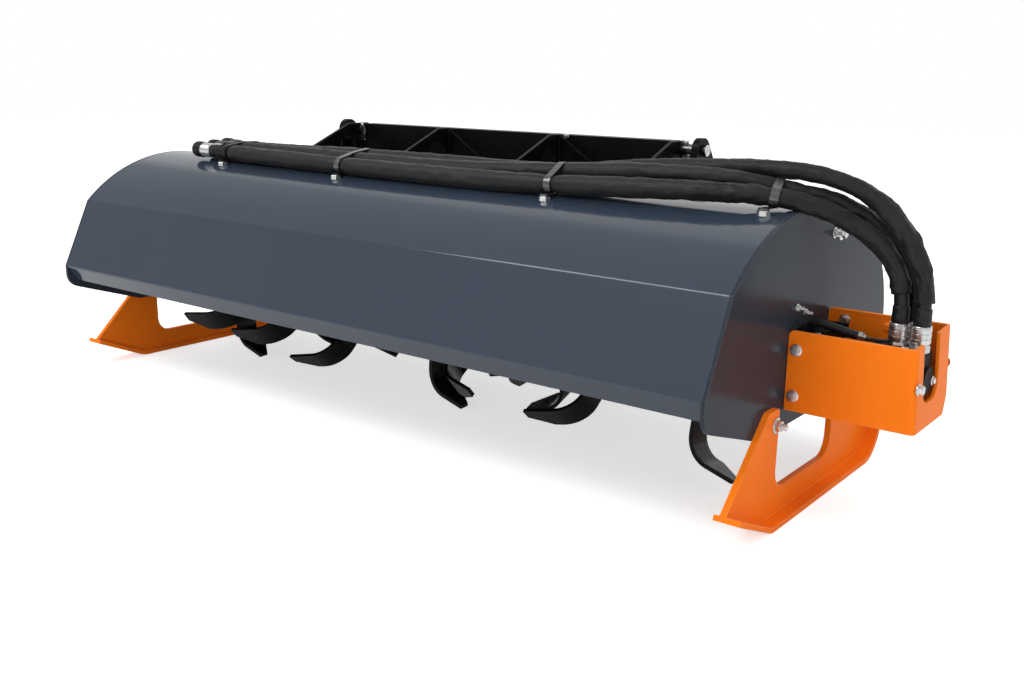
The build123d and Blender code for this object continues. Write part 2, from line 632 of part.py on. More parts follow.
def make_gussets():
    """Middle gussets carry a wing against the beam, outer ones an eye for the hitch pin."""
    outline = gusset_outline()
    lug = make_face(Polyline(
        (BEAM_FRONT_Y, GUSSET_TOP_Z),
        (PIN_Y + EAR_TOP_RADIUS, GUSSET_TOP_Z),
        (PIN_Y + EAR_TOP_RADIUS, PIN_Z - EAR_TOP_RADIUS),
        (BEAM_FRONT_Y, PIN_Z - EAR_TOP_RADIUS),
        (BEAM_FRONT_Y, GUSSET_TOP_Z),
    ).edges())
    eye = Pos(PIN_Y, PIN_Z) * Circle(PIN_RADIUS + PIN_CLEARANCE)
    end_outline = outline + lug - eye
    corners = [(0, GUSSET_TOP_Z), (WING_LENGTH, BEAM_BOTTOM_Z), (0, BEAM_BOTTOM_Z), (0, GUSSET_TOP_Z)]
    wing = extrude(Plane.XZ * make_face(Polyline(*corners).edges()), amount=WING_THICK)
    for index, x in enumerate(GUSSET_X):
        is_end = abs(x) == max(GUSSET_X)
        gusset = plate_x(end_outline if is_end else outline, x - GUSSET_THICK / 2, GUSSET_THICK)
        if not is_end:
            gusset += Pos(x, BEAM_FRONT_Y, 0) * wing
        nodes[f"hitch_gusset_{index + 1}"] = gusset


def make_beam():
    """Folded beam between the ears, notched for the lugs of the outer gussets, and cross tube."""
    beam = block(-EAR_INNER_X, EAR_INNER_X, BEAM_FRONT_Y, BEAM_REAR_Y, BEAM_BOTTOM_Z, BEAM_TOP_Z)
    lip_end = GUSSET_X[-1] - GUSSET_THICK / 2 - 2 * PIN_OVERHANG
    lip_rear = BEAM_REAR_Y + BEAM_LIP
    beam += block(-lip_end, lip_end, BEAM_REAR_Y, lip_rear, BEAM_TOP_Z - BEAM_THICK, BEAM_TOP_Z)
    notch_z = PIN_Z - EAR_TOP_RADIUS - SEAT_GAP
    notch = block(lip_end, EAR_INNER_X, BEAM_FRONT_Y, BEAM_REAR_Y, notch_z, BEAM_TOP_Z)
    nodes["hitch_beam"] = beam - notch - mirror_x(notch)
    tube = Rectangle(CROSS_TUBE, CROSS_TUBE)
    tube = fillet(tube.vertices(), CROSS_TUBE_WALL)
    bore = Rectangle(CROSS_TUBE - 2 * CROSS_TUBE_WALL, CROSS_TUBE - 2 * CROSS_TUBE_WALL)
    centre = Pos(REAR_Y + SEAT_GAP + CROSS_TUBE / 2, EAR_FOOT_Z + CROSS_TUBE / 2)
    nodes["hitch_cross_tube"] = plate_x(centre * (tube - bore), -EAR_INNER_X, 2 * EAR_INNER_X)


def bend_radii(points):
    """Largest radii that the runs allow: 0.45 of the shorter run at each corner."""
    radii = []
    for before, corner, after in zip(points, points[1:], points[2:]):
        arriving, leaving = corner - before, after - corner
        half_turn = radians(arriving.get_angle(leaving)) / 2
        radii.append(0.45 * min(arriving.length, leaving.length) / tan(half_turn))
    return radii


def hose_path(route):
    """Centre line of a hose: straight runs joined by tangent arcs."""
    points = [Vector(*point) for point in route]
    return FilletPolyline(*points, radius=bend_radii(points))


def hose(route, diameter):
    """Round hose along its route."""
    path = hose_path(route)
    section = Plane(origin=path @ 0, z_dir=path % 0) * Circle(diameter / 2)
    tube = sweep(section, path=path)
    radii = [round(radius) for radius in bend_radii([Vector(*point) for point in route])]
    print(f"radii {radii} length {path.length:.0f}", end=" ")
    print(f"volume ratio {tube.volume / (section.area * path.length):.4f}")
    return tube


def make_hoses():
    for number, (name, route) in enumerate(HOSE_ROUTES.items(), 1):
        nodes[name] = hose(route, HOSE_DIAMETER)
        end, before = Vector(*route[-1]), Vector(*route[-2])
        away = Plane(origin=end, z_dir=end - before)
        sections = (
            (COUPLER_RADIUS, COUPLER_LENGTH),
            (COUPLER_RING_RADIUS, COUPLER_RING_LENGTH),
            (COUPLER_CAP_RADIUS, COUPLER_CAP_LENGTH),
        )
        coupler = []
        start = 0
        for radius, length in sections:
            coupler.append(Pos(0, 0, start + length / 2) * Cylinder(radius, length))
            start += length
        nodes[f"coupler_{number}"] = away * (coupler[0] + coupler[1] + coupler[2])


def hose_at(name, x):
    """Centre and direction of a hose where it passes x, found by halving its length."""
    path = hose_path(HOSE_ROUTES[name])
    low, high = 0.0, 1.0
    for _ in range(24):
        middle = (low + high) / 2
        if (path @ middle).X > x:
            low = middle
        else:
            high = middle
    return path @ high, path % high


def crown_z(y):
    """Height of the hood's crown above y."""
    return CROWN_CENTRE[1] + sqrt(CROWN_RADIUS**2 - (y - CROWN_CENTRE[0]) ** 2)


def clamp(x, stand_off, names):
    """Strap round some hoses, with a tab to a stand-off that is trimmed to the hood's crown."""
    held = [hose_at(name, x) for name in names]
    centre = sum((point for point, _ in held), Vector()) / len(held)
    along = sum((direction for _, direction in held), Vector()).normalized()
    across = Plane(origin=centre, x_dir=Vector(0, 0, 1).cross(along), z_dir=along)
    inner_radius = HOSE_DIAMETER / 2 + CLAMP_GAP
    circles = []
    for point, _ in held:
        local = across.to_local_coords(point)
        circles.append(Pos(local.X, local.Y) * Circle(inner_radius))
    inside = make_face(make_hull(Sketch(circles).edges()).edges())
    half = CLAMP_WIDTH / 2
    strap = extrude(across * (offset(inside, CLAMP_BAND) - inside), amount=half, both=True)
    first = held[0][0]
    foot_y = first.Y - stand_off
    top_z = first.Z - inner_radius - CLAMP_BAND / 3
    tab = block(x - half, x + half, foot_y, first.Y, top_z - CLAMP_BAND, top_z)
    length = top_z - crown_z(foot_y) + STAND_OFF_RADIUS
    post = Pos(x, foot_y, top_z - length / 2) * Cylinder(STAND_OFF_RADIUS, length)
    hood = plate_x(seat_outline(), x - 2 * STAND_OFF_RADIUS, 4 * STAND_OFF_RADIUS)
    return strap + tab + (post - hood)


def make_clamps():
    for number, (x, stand_off, names) in enumerate(CLAMPS, 1):
        nodes[f"clamp_{number}"] = clamp(x, stand_off, names)


def build_all():
    make_hood()
    make_end_plates()
    make_skids()
    make_rotor()
    make_bearings()
    make_motor()
    make_guard()
    make_ears()
    make_gussets()
    make_beam()
    make_hoses()
    make_clamps()


build_all()
os.makedirs("parts", exist_ok=True)
for name, shape in nodes.items():
    export_step(place(shape), f"parts/{name}.step")
print(f"origin at x {MIDDLE_X:.2f} y {MIDDLE_Y:.2f}, {len(nodes)} nodes")
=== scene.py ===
import json
import math

import bpy
import bmesh
from mathutils import Matrix, Vector, noise


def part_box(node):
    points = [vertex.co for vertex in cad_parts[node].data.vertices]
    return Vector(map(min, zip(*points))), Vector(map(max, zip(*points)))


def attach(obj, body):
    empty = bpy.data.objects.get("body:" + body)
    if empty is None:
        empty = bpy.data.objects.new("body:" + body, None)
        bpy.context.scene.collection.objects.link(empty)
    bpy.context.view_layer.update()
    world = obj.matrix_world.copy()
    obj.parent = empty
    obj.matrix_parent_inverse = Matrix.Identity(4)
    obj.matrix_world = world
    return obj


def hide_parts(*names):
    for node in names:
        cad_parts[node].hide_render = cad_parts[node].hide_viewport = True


# Looks of a hydraulic rotavator. Sizes are in millimetres in the drawing's datum, where the rotor
# runs along X at y = 316 and z = 266 and z = 0 is the ground; at() turns them into metres in the
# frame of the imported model.

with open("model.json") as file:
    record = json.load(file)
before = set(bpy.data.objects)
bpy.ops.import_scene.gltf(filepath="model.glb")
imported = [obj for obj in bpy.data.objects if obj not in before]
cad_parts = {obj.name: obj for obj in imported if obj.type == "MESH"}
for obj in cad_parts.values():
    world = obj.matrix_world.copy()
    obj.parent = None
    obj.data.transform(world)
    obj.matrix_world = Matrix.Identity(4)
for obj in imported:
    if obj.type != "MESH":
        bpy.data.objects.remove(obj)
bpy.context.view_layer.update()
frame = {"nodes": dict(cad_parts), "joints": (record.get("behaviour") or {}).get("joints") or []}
NODES = frame["nodes"]
ROTOR_AT = Vector(frame["joints"][0]["pos_m"])
AXIS_Y = 316.0
AXIS_Z = 266.0

HALF_LENGTH = 900.0  # from the middle of the hood to the outside of an end plate
END_PLATE = 8.0
SKID_PLATE = 12.0
BEARING_PLATE = 12.0
BEARING_CAP = 20.0
BEAM_FRONT_Y = 565.0

WHITE = (1, 1, 1, 1)
BEVEL_SAMPLES = 4
EDGE_FULL = 0.78  # cosine between the plain and the rounded normal where an edge counts in full,
EDGE_NONE = 0.985  # and where it no longer counts
MIX_LOW, MIX_HIGH, MIX_RESULT = 6, 7, 2  # colour sockets of a Mix node


def at(x, y, z):
    """Point of the drawing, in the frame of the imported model."""
    return Vector((x, y - AXIS_Y, z - AXIS_Z)) / 1000 + ROTOR_AT


DATUM = at(0, 0, 0)


def mm(value):
    return value / 1000


def add_object(name, data):
    """New object of the scene, at the origin."""
    made = bpy.data.objects.new(name, data)
    bpy.context.scene.collection.objects.link(made)
    return made


# --- Camera and lamps --------------------------------------------------------------------------

CAMERA_AT = at(1626, -1494, 767)
CAMERA_TOWARDS = Vector((-0.59217, 0.76758, -0.24526))
CAMERA_ROLL = math.radians(0.75)
LENS = 37.83
SENSOR_WIDTH = 36

camera_data = bpy.data.cameras.new("camera")
camera_data.lens = LENS
camera_data.sensor_width = SENSOR_WIDTH
camera = add_object("camera", camera_data)
camera.rotation_mode = "QUATERNION"
roll = Matrix.Rotation(CAMERA_ROLL, 4, "Z").to_quaternion()
camera.rotation_quaternion = CAMERA_TOWARDS.to_track_quat("-Z", "Y") @ roll
camera.location = CAMERA_AT
bpy.context.scene.camera = camera
bpy.context.scene.view_settings.view_transform = "Standard"


def area_lamp(name, place, target, size, power, mirrored=False):
    """Soft box; only a mirrored one shows in gloss."""
    data = bpy.data.lights.new(name, "AREA")
    data.shape = "RECTANGLE"
    data.size, data.size_y = size
    data.energy = power
    lamp = add_object(name, data)
    lamp.visible_glossy = mirrored
    lamp.location = place
    direction = Vector(target) - Vector(place)
    lamp.rotation_euler = direction.to_track_quat("-Z", "Y").to_euler()


area_lamp("key_lamp", (-1.2, -2.6, 3.4), (0, 0, 0.3), (3.0, 1.4), 74, mirrored=True)
area_lamp("front_lamp", (0.6, -4.2, 1.5), (0, 0, 0.3), (3.2, 1.2), 34)
area_lamp("top_lamp", (0.3, 0.6, 3.6), (0, 0, 0.2), (4.2, 1.2), 40)
area_lamp("side_lamp", (3.6, -0.6, 1.6), (0.6, 0, 0.35), (1.2, 1.8), 12)

# --- Shader nodes --------------------------------------------------------------------------------


def link(tree, source, target):
    tree.links.new(source, target)


def node(tree, kind, values):
    """Node with the given values in its inputs."""
    made = tree.nodes.new(kind)
    for name, value in values.items():
        made.inputs[name].default_value = value
    return made


def noise_node(tree, scale, detail, rough):
    """Noise in object coordinates."""
    coords = tree.nodes.new("ShaderNodeTexCoord")
    settings = {"Scale": scale, "Detail": detail, "Roughness": rough}
    made = node(tree, "ShaderNodeTexNoise", settings)
    link(tree, coords.outputs["Object"], made.inputs["Vector"])
    return made.outputs[0]


def spread(tree, source, low, high, from_low=0.3, from_high=0.7):
    """Map a value from one range to another."""
    ends = {"From Min": from_low, "From Max": from_high, "To Min": low, "To Max": high}
    made = node(tree, "ShaderNodeMapRange", ends)
    link(tree, source, made.inputs["Value"])
    return made.outputs[0]


def calculated(tree, operation, first, second):
    made = tree.nodes.new("ShaderNodeMath")
    made.operation = operation
    link(tree, first, made.inputs[0])
    link(tree, second, made.inputs[1])
    return made.outputs[0]


def two_tones(tree, factor, dark, light):
    """Colour between two tones."""
    made = tree.nodes.new("ShaderNodeMix")
    made.data_type = "RGBA"
    made.inputs[MIX_LOW].default_value = (*dark, 1)
    made.inputs[MIX_HIGH].default_value = (*light, 1)
    link(tree, factor, made.inputs[0])
    return made.outputs[MIX_RESULT]


def layered(tree, colour, tone, factor):
    """Cover a colour with another tone where factor is high."""
    made = tree.nodes.new("ShaderNodeMix")
    made.data_type = "RGBA"
    made.inputs[MIX_HIGH].default_value = (*tone, 1)
    link(tree, factor, made.inputs[0])
    link(tree, colour, made.inputs[MIX_LOW])
    return made.outputs[MIX_RESULT]


def mix_shaders(tree, factor, low, high):
    made = tree.nodes.new("ShaderNodeMixShader")
    link(tree, factor, made.inputs[0])
    link(tree, low, made.inputs[1])
    link(tree, high, made.inputs[2])
    return made.outputs[0]


def rounded_normal(tree, width):
    """Normal that turns over a sharp edge as if it had a bevel of this width."""
    made = node(tree, "ShaderNodeBevel", {"Radius": width})
    made.samples = BEVEL_SAMPLES
    return made.outputs[0]


def edge_mask(tree, width):
    """1 on edges that are sharper than the bevel of this width, 0 on flats."""
    flat = tree.nodes.new("ShaderNodeNewGeometry")
    turn = tree.nodes.new("ShaderNodeVectorMath")
    turn.operation = "DOT_PRODUCT"
    link(tree, rounded_normal(tree, width), turn.inputs[0])
    link(tree, flat.outputs["Normal"], turn.inputs[1])
    return spread(tree, turn.outputs["Value"], 1, 0, EDGE_FULL, EDGE_NONE)


# --- Studio and floor ----------------------------------------------------------------------------

SKY_TONE = (0.97, 0.985, 1.0, 1)
SKY_STRENGTH = 0.80
MIRROR_GREY = (0.60, 0.61, 0.63, 1)  # what gloss sees in front of the machine
MIRROR_GREY_Y = 0.34  # directions below this are grey in gloss,
MIRROR_WHITE_Y = 0.43  # and those above this are white
# strength in gloss far left and elsewhere, and the directions along X where it changes
MIRROR_STRENGTH = {"low": 0.70, "high": 1.0, "from_low": -0.9, "from_high": -0.55}
FLOOR_REACH = 14
FLOOR_DROP = 0.0005
FLOOR_TONE = (0.80, 0.80, 0.80, 1)
FLOOR_GLOW = 0.58  # for rays that come straight from the camera
FLOOR_GLOW_MIRRORED = 0.06


def background_rays(tree):
    """1 for the rays that see the white studio, and 1 for those of them that are glossy."""
    paths = tree.nodes.new("ShaderNodeLightPath")
    seen = paths.outputs["Is Camera Ray"]
    for name in ("Is Glossy Ray", "Is Transmission Ray"):
        seen = calculated(tree, "MAXIMUM", seen, paths.outputs[name])
    return seen, paths.outputs["Is Glossy Ray"]


def by_ray(tree, lit, viewed, mirrored, out):
    """Show one shader to light, one to the camera and one to gloss."""
    seen, glossy = background_rays(tree)
    shown = mix_shaders(tree, glossy, viewed, mirrored)
    link(tree, mix_shaders(tree, seen, lit, shown), out.inputs[0])


def make_world():
    """White studio, brighter at the back than in front, as gloss shows it."""
    world = bpy.data.worlds.new("studio")
    bpy.context.scene.world = world
    world.use_nodes = True
    tree = world.node_tree
    tree.nodes.clear()
    out = tree.nodes.new("ShaderNodeOutputWorld")
    lit, viewed, mirrored = (
        node(tree, "ShaderNodeBackground", {"Color": tone, "Strength": strength})
        for tone, strength in ((SKY_TONE, SKY_STRENGTH), (WHITE, 1.0), (WHITE, 1.0))
    )
    way = tree.nodes.new("ShaderNodeTexCoord")
    split = tree.nodes.new("ShaderNodeSeparateXYZ")
    ramp = tree.nodes.new("ShaderNodeValToRGB")
    grey, white = ramp.color_ramp.elements
    grey.position, grey.color = MIRROR_GREY_Y, MIRROR_GREY
    white.position, white.color = MIRROR_WHITE_Y, WHITE
    link(tree, way.outputs["Generated"], split.inputs[0])
    link(tree, split.outputs["Y"], ramp.inputs[0])
    link(tree, ramp.outputs[0], mirrored.inputs["Color"])
    strength = spread(tree, split.outputs["X"], **MIRROR_STRENGTH)
    link(tree, strength, mirrored.inputs["Strength"])
    by_ray(tree, lit.outputs[0], viewed.outputs[0], mirrored.outputs[0], out)


def make_floor():
    """Pale floor that keeps the shadow, and is as white as the studio where nothing shades it."""
    reach = FLOOR_REACH
    corners = [(-reach, -reach, 0), (reach, -reach, 0), (reach, reach, 0), (-reach, reach, 0)]
    data = bpy.data.meshes.new("floor")
    data.from_pydata(corners, [], [(0, 1, 2, 3)])
    floor = add_object("floor", data)
    floor.location.z = -FLOOR_DROP
    material = bpy.data.materials.new("pale_floor")
    material.use_nodes = True
    tree = material.node_tree
    tree.nodes.clear()
    out = tree.nodes.new("ShaderNodeOutputMaterial")
    matt = node(tree, "ShaderNodeBsdfDiffuse", {"Color": FLOOR_TONE})
    glowing = []
    for strength in (FLOOR_GLOW, FLOOR_GLOW_MIRRORED):
        glow = node(tree, "ShaderNodeEmission", {"Strength": strength})
        both = tree.nodes.new("ShaderNodeAddShader")
        link(tree, matt.outputs[0], both.inputs[0])
        link(tree, glow.outputs[0], both.inputs[1])
        glowing.append(both.outputs[0])
    by_ray(tree, matt.outputs[0], *glowing, out)
    data.materials.append(material)


make_world()
make_floor()

# --- Materials -----------------------------------------------------------------------------------

# lighter edges, partly worn paint and partly a painted highlight where rounded edges would catch
# the light
WEAR_AND_HIGHLIGHT_PATCHES = 60  # noise scale of the lighter stretches along an edge
WEAR_AND_HIGHLIGHT_LEAST = 0.4
BUMP_DEPTH = 0.001


def finish_material(
    name, dark, light, rough, mottle, peel, metallic=0.0, ior=1.5, edge=None, wear_and_highlight=None,
):
    """Principled finish with blotchy colour, uneven gloss and fine bump.

    dark and light are the colour's tones and rough the ends of its roughness. mottle is the scale
    of the blotches, and peel the bump's scale and strength. edge is the width of softened edges,
    and the last argument the tone, width and amount of lighter edges, which are partly worn paint
    and partly a painted highlight; both are optional.
    """
    made = bpy.data.materials.new(name)
    made.use_nodes = True
    tree = made.node_tree
    shader = tree.nodes["Principled BSDF"]
    shader.inputs["Metallic"].default_value = metallic
    shader.inputs["IOR"].default_value = ior
    blotches = noise_node(tree, mottle, detail=5.0, rough=0.6)
    colour = two_tones(tree, spread(tree, blotches, 0, 1), dark, light)
    # lighten the edges: partly worn paint, partly a painted highlight
    if wear_and_highlight:
        tone, width, amount = wear_and_highlight
        patches = noise_node(tree, WEAR_AND_HIGHLIGHT_PATCHES, detail=4.0, rough=0.6)
        patchy = spread(tree, patches, WEAR_AND_HIGHLIGHT_LEAST, amount)
        share = calculated(tree, "MULTIPLY", edge_mask(tree, width), patchy)
        colour = layered(tree, colour, tone, share)
    link(tree, colour, shader.inputs["Base Color"])
    scuffs = noise_node(tree, mottle * 4, detail=6.0, rough=0.65)
    link(tree, spread(tree, scuffs, *rough), shader.inputs["Roughness"])
    bump = node(tree, "ShaderNodeBump", {"Strength": peel[1], "Distance": BUMP_DEPTH})
    grain = noise_node(tree, peel[0], detail=2.0, rough=0.5)
    link(tree, grain, bump.inputs["Height"])
    if edge:
        link(tree, rounded_normal(tree, edge), bump.inputs["Normal"])
    link(tree, bump.outputs[0], shader.inputs["Normal"])
    return made


# the edge tones below lighten each finish's edges, partly as worn paint and partly as a painted
# highlight
HOOD_PAINT = finish_material(
    "hood_paint", (0.0245, 0.0345, 0.052), (0.0275, 0.0385, 0.057), (0.085, 0.13), mottle=2.5,
    peel=(150.0, 0.012), edge=0.0014, wear_and_highlight=((0.10, 0.115, 0.14), 0.0016, 0.9),
)
END_PAINT = finish_material(
    "end_plate_paint", (0.026, 0.031, 0.040), (0.029, 0.034, 0.044), (0.17, 0.24), mottle=2.5,
    peel=(150.0, 0.012), ior=1.17, edge=0.0014, wear_and_highlight=((0.14, 0.155, 0.18), 0.0018, 0.9),
)
ORANGE_PAINT = finish_material(
    "orange_paint", (0.83, 0.168, 0.008), (0.88, 0.188, 0.010), (0.28, 0.38), mottle=6.0,
    peel=(220.0, 0.03), ior=1.12, edge=0.0018, wear_and_highlight=((0.95, 0.42, 0.14), 0.0026, 0.8),
)
BLACK_PAINT = finish_material(
    "black_paint", (0.0018, 0.0019, 0.0023), (0.0034, 0.0035, 0.0041), (0.26, 0.40), mottle=9.0,
    peel=(260.0, 0.04), ior=1.18, edge=0.0016, wear_and_highlight=((0.055, 0.056, 0.06), 0.0022, 0.9),
)
MOTOR_BLACK = finish_material(
    "motor_black", (0.003, 0.003, 0.0034), (0.007, 0.007, 0.0075), (0.38, 0.55), mottle=14.0,
    peel=(160.0, 0.2), ior=1.16, edge=0.001, wear_and_highlight=((0.05, 0.05, 0.05), 0.0012, 0.8),
)
TINE_STEEL = finish_material(
    "tine_steel", (0.0018, 0.0018, 0.0020), (0.0042, 0.0040, 0.0040), (0.18, 0.34), mottle=16.0,
    peel=(110.0, 0.12), ior=1.27, edge=0.0014, wear_and_highlight=((0.06, 0.06, 0.06), 0.0018, 0.9),
)
ZINC_STEEL = finish_material(
    "zinc_steel", (0.60, 0.60, 0.59), (0.80, 0.80, 0.79), (0.24, 0.40), metallic=1.0, mottle=45.0,
    peel=(500.0, 0.10), edge=0.0006, wear_and_highlight=((0.92, 0.92, 0.91), 0.0007, 0.9),
)
YELLOW_ZINC = finish_material(
    "yellow_zinc", (0.50, 0.40, 0.20), (0.66, 0.55, 0.30), (0.22, 0.36), metallic=1.0, mottle=45.0,
    peel=(500.0, 0.10), edge=0.0006,
)
STRAP_STEEL = finish_material(
    "strap_steel", (0.11, 0.11, 0.112), (0.20, 0.20, 0.202), (0.24, 0.38), metallic=1.0,
    mottle=60.0, peel=(500.0, 0.12), edge=0.0006,
)
RUBBER = finish_material(
    "hose_rubber", (0.0055, 0.0055, 0.0055), (0.011, 0.011, 0.011), (0.36, 0.52), mottle=25.0,
    peel=(260.0, 0.15), ior=1.4,
)
BLACK_PLASTIC = finish_material(
    "black_plastic", (0.006, 0.006, 0.006), (0.010, 0.010, 0.010), (0.30, 0.44), mottle=20.0,
    peel=(200.0, 0.08), ior=1.3, edge=0.0008,
)

# density of the weave's ribs round the sleeve and along it, in turns of the wave texture
RIBS = (("X", 62.0), ("Y", 950.0))
WAVE_TURN = 6.283


def woven_material():
    """Black woven nylon: crossed ribs along and round the sleeve, with slight sheen."""
    made = bpy.data.materials.new("woven_sleeve")
    made.use_nodes = True
    tree = made.node_tree
    shader = tree.nodes["Principled BSDF"]
    shader.inputs["IOR"].default_value = 1.36
    shader.inputs["Sheen Weight"].default_value = 0.03
    shader.inputs["Sheen Roughness"].default_value = 0.4
    blotches = noise_node(tree, 9, detail=5.0, rough=0.6)
    tone = spread(tree, blotches, 0, 1)
    colour = two_tones(tree, tone, (0.005, 0.005, 0.0051), (0.013, 0.013, 0.0132))
    link(tree, colour, shader.inputs["Base Color"])
    link(tree, spread(tree, blotches, 0.40, 0.54), shader.inputs["Roughness"])
    coords = tree.nodes.new("ShaderNodeUVMap")
    waves = []
    for direction, ribs in RIBS:
        settings = {"Scale": ribs / WAVE_TURN, "Distortion": 0.35}
        wave = node(tree, "ShaderNodeTexWave", settings)
        wave.bands_direction = direction
        link(tree, coords.outputs[0], wave.inputs["Vector"])
        waves.append(wave.outputs["Fac"])
    bump = node(tree, "ShaderNodeBump", {"Strength": 0.35, "Distance": 0.0006})
    link(tree, calculated(tree, "MULTIPLY", *waves), bump.inputs["Height"])
    link(tree, bump.outputs[0], shader.inputs["Normal"])
    return made


WOVEN = woven_material()

# --- Mesh helpers --------------------------------------------------------------------------------

WASHER_THICK = 2.0
THREAD_PITCH = 1.5


def turned(z_axis, origin):
    """Matrix whose Z runs along z_axis at origin."""
    z = Vector(z_axis).normalized()
    hint = Vector((0, 0, 1)) if abs(z.z) < 0.9 else Vector((1, 0, 0))
    x = (hint - z * hint.dot(z)).normalized()
    y = z.cross(x)
    made = Matrix((x, y, z)).transposed().to_4x4()
    made.translation = origin
    return made


def sections(points):
    """Each point of a line with two unit vectors across it, carried along without twist."""
    last = len(points) - 1
    side = None
    for index, point in enumerate(points):
        along = (points[min(index + 1, last)] - points[max(index - 1, 0)]).normalized()
        if side is None:
            side = along.orthogonal().normalized()
        side = (side - along * side.dot(along)).normalized()
        yield point, side, along.cross(side)


def bridge(mesh, low, high):
    """Faces between two rings of vertices, either of which may be a single one."""
    sides = max(len(low), len(high))
    made = []
    if sides == 1:
        return made
    for step in range(sides):
        following = (step + 1) % sides
        if len(low) == 1:
            corners = (low[0], high[step], high[following])
        elif len(high) == 1:
            corners = (low[step], low[following], high[0])
        else:
            corners = (low[step], low[following], high[following], high[step])
        made.append(mesh.faces.new(corners))
    return made


def shade(made, angle):
    """Smooth shading that stays sharp over edges steeper than angle."""
    data = made.data
    limit = math.radians(angle)
    work = bmesh.new()
    work.from_mesh(data)
    for face in work.faces:
        face.smooth = True
    for edge in work.edges:
        edge.smooth = len(edge.link_faces) == 2 and edge.calc_face_angle(0) < limit
    work.to_mesh(data)
    work.free()


class Bag:
    """Collects many small closed forms in one mesh object."""

    def __init__(self):
        self.mesh = bmesh.new()

    def lathe(self, profile, matrix, segments, phase=0.0):
        """Turn (radius, height) pairs, in millimetres, about the matrix's Z axis."""
        rings = []
        for radius, height in profile:
            spots = [Vector((0, 0, mm(height)))]
            if radius > 0:
                turns = (phase + math.tau * step / segments for step in range(segments))
                spots = [
                    Vector((mm(radius) * math.cos(turn), mm(radius) * math.sin(turn), mm(height)))
                    for turn in turns
                ]
            rings.append([self.mesh.verts.new(matrix @ spot) for spot in spots])
        for low, high in zip(rings, rings[1:]):
            bridge(self.mesh, low, high)

    def tube(self, points, radius, segments, ripple=0.0, pitch=1.0):
        """Closed round strand through points in metres; ripple makes the scales of a weld bead."""
        run = 0.0
        previous = points[0]
        rings = []
        for point, side, other in sections(points):
            run += (point - previous).length * 1000
            previous = point
            size = mm(radius) * (1 + ripple * math.sin(math.tau * run / pitch))
            ring = []
            for step in range(segments):
                turn = math.tau * step / segments
                offset = side * math.cos(turn) + other * math.sin(turn)
                ring.append(self.mesh.verts.new(point + offset * size))
            rings.append(ring)
        for low, high in zip(rings, rings[1:]):
            bridge(self.mesh, low, high)
        self.mesh.faces.new(reversed(rings[0]))
        self.mesh.faces.new(rings[-1])

    def bolt(self, place, direction, across, head, washer, turn=0.0):
        """Chamfered hexagon head on a washer that lies on the plate at place.

        across is the width across flats, head the height and washer the washer's radius.
        """
        matrix = turned(direction, place)
        base = 0.0
        if washer:
            base = WASHER_THICK
            rim = [(washer, 0), (washer, base - 0.4), (washer - 0.6, base)]
            self.lathe([(0, 0), *rim, (0, base)], matrix, segments=28)
        corner = across / math.sqrt(3)
        top = base + head
        profile = [
            (0, base), (corner, base), (corner, top - 1.4), (corner * 0.9, top - 0.3),
            (corner * 0.62, top), (0, top),
        ]
        self.lathe(profile, matrix, segments=6, phase=turn)

    def nut(self, place, direction, across, height, thread, stub, washer):
        """Hexagon nut on a washer, with the bolt's threaded end standing out of it.

        thread is the bolt's diameter, and stub the length that its end stands out.
        """
        self.bolt(place, direction, across, height, washer, turn=0.3)
        low = height + (WASHER_THICK if washer else 0.0) - 1
        profile = [(0, low)]
        for step in range(int(stub / THREAD_PITCH)):
            ridge = low + step * THREAD_PITCH
            profile += [(thread * 0.5, ridge), (thread * 0.44, ridge + THREAD_PITCH / 2)]
        profile += [(thread * 0.36, low + stub), (0, low + stub)]
        self.lathe(profile, turned(direction, place), segments=14)

    def make(self, name, material, body, smooth=35.0):
        """Turn what was collected into an object that rides on a body."""
        bmesh.ops.recalc_face_normals(self.mesh, faces=self.mesh.faces)
        data = bpy.data.meshes.new(name)
        self.mesh.to_mesh(data)
        self.mesh.free()
        made = add_object(name, data)
        data.materials.append(material)
        shade(made, smooth)
        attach(made, body)
        return made


# --- CAD nodes -----------------------------------------------------------------------------------

# starts of the nodes' names; the first that fits counts
DRESSES = (
    ("hood_shell", HOOD_PAINT),
    ("end_plate", END_PAINT),
    ("skid", ORANGE_PAINT),
    ("motor_guard", ORANGE_PAINT),
    ("hitch_pin", STRAP_STEEL),
    ("hitch", BLACK_PAINT),
    ("guard_bracket", BLACK_PAINT),
    ("rotor_shaft", BLACK_PAINT),
    ("tines", TINE_STEEL),
    ("clamp_1", BLACK_PLASTIC),
    ("clamp", STRAP_STEEL),
    ("motor", MOTOR_BLACK),
    ("bearing", MOTOR_BLACK),
    ("hose", RUBBER),
    ("", ZINC_STEEL),
)
for name, cad_node in NODES.items():
    material = next(paint for start, paint in DRESSES if name.startswith(start))
    cad_node.data.materials.clear()
    cad_node.data.materials.append(material)

# --- Hoses: rubber cores in woven sleeves --------------------------------------------------------

HOSE_ROUTES = {  # from the motor's ports to the couplers
    "hose_front": (
        (1060, 316, 369), (1060, 316, 405), (1049, 312, 446), (1021, 301, 490), (976, 284, 521),
        (924, 262, 547), (860, 236, 561.5), (760, 209, 565), (640, 200, 562), (450, 193, 554),
        (240, 189, 550), (30, 190, 551), (-300, 196, 554), (-480, 205, 556), (-606, 207, 558),
    ),
    "hose_middle": (
        (1071, 350, 369), (1071, 350, 404), (1061, 347, 440), (1033, 337, 484), (992, 323, 529),
        (932, 302, 556), (860, 275, 570), (780, 250, 586), (640, 240, 587), (450, 234, 577),
        (240, 229, 564), (30, 230, 560), (-300, 235, 565), (-480, 241, 564), (-606, 247.5, 563),
    ),
    "hose_rear": (
        (1097, 316, 369), (1097, 316, 405), (1089, 316, 446), (1069, 315, 489), (1039, 312, 532),
        (992, 306, 573), (926, 297, 596), (850, 289, 605), (700, 281, 599), (560, 275, 589),
        (400, 272, 569), (230, 272, 568), (30, 272, 570), (-300, 275, 567), (-480, 279, 563),
        (-606, 288, 564),
    ),
}
CORE_RADIUS = 12.5
